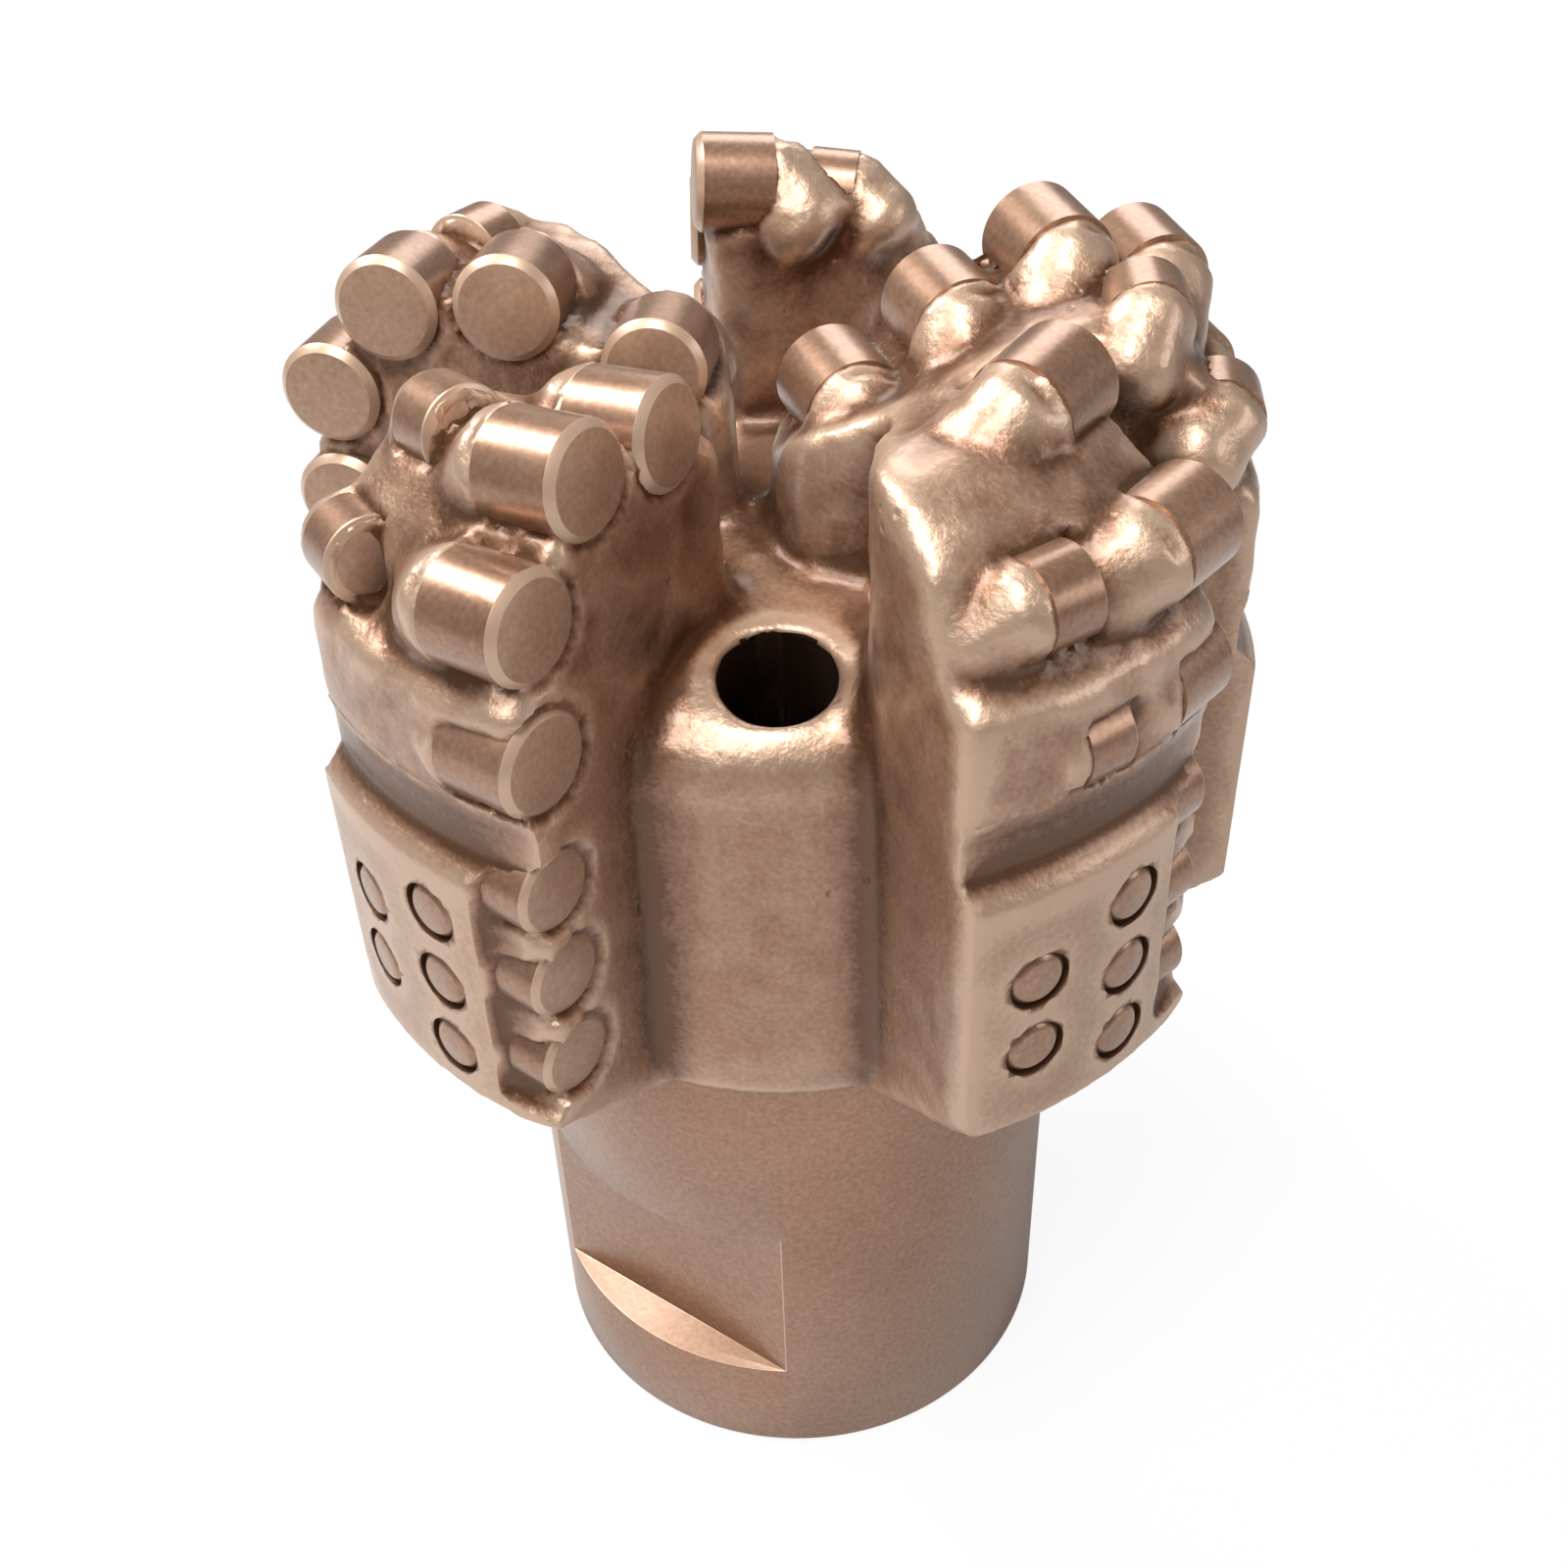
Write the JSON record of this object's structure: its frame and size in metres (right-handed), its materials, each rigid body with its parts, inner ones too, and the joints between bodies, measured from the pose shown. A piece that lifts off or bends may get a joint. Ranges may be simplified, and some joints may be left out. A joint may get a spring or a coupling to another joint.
{
  "type": "drill bit",
  "caption": "Drill bit with a cast crown of curved-top blades carrying brazed round cutters, gauge pads with inserts, nozzle ports and a steel shank with wrench flats.",
  "frame": {"origin": "on the bit's axis at the open end of the shank, which it stands on", "axes": "+Z along the bit's axis from the shank to the cutting face; the two wrench flats face -Y and +Y; +X completes the right-handed frame and points near the leading face of one blade"},
  "size_m": [0.1524, 0.1511, 0.2226],
  "materials": {
    "steel": "satin bronze paint over machined steel",
    "matrix": "semi-matte bronze paint over a sand-textured casting",
    "cutter": "satin bronze paint over ground cutters"
  },
  "bodies": {
    "root": {"steel_shank": "steel", "matrix_crown": "matrix", "cutter_a1": "cutter", "cutter_a2": "cutter", "cutter_a3": "cutter", "cutter_a4": "cutter", "cutter_b1": "cutter", "cutter_b2": "cutter", "cutter_b3": "cutter", "cutter_c1": "cutter", "cutter_c2": "cutter", "cutter_c3": "cutter", "cutter_c4": "cutter", "cutter_c5": "cutter", "cutter_d1": "cutter", "cutter_d2": "cutter", "cutter_d3": "cutter", "cutter_e1": "cutter", "cutter_e2": "cutter", "cutter_e3": "cutter", "cutter_e4": "cutter", "cutter_e5": "cutter", "backup_a1": "cutter", "backup_a2": "cutter", "backup_b1": "cutter", "backup_b2": "cutter", "backup_c1": "cutter", "backup_c2": "cutter", "backup_d1": "cutter", "backup_d2": "cutter", "backup_e1": "cutter", "backup_e2": "cutter", "gauge_cutter_a1": "cutter", "gauge_cutter_a2": "cutter", "gauge_cutter_a3": "cutter", "gauge_cutter_b1": "cutter", "gauge_cutter_b2": "cutter", "gauge_cutter_b3": "cutter", "gauge_cutter_c1": "cutter", "gauge_cutter_c2": "cutter", "gauge_cutter_c3": "cutter", "gauge_cutter_d1": "cutter", "gauge_cutter_d2": "cutter", "gauge_cutter_d3": "cutter", "gauge_cutter_e1": "cutter", "gauge_cutter_e2": "cutter", "gauge_cutter_e3": "cutter"}
  },
  "joints": []
}
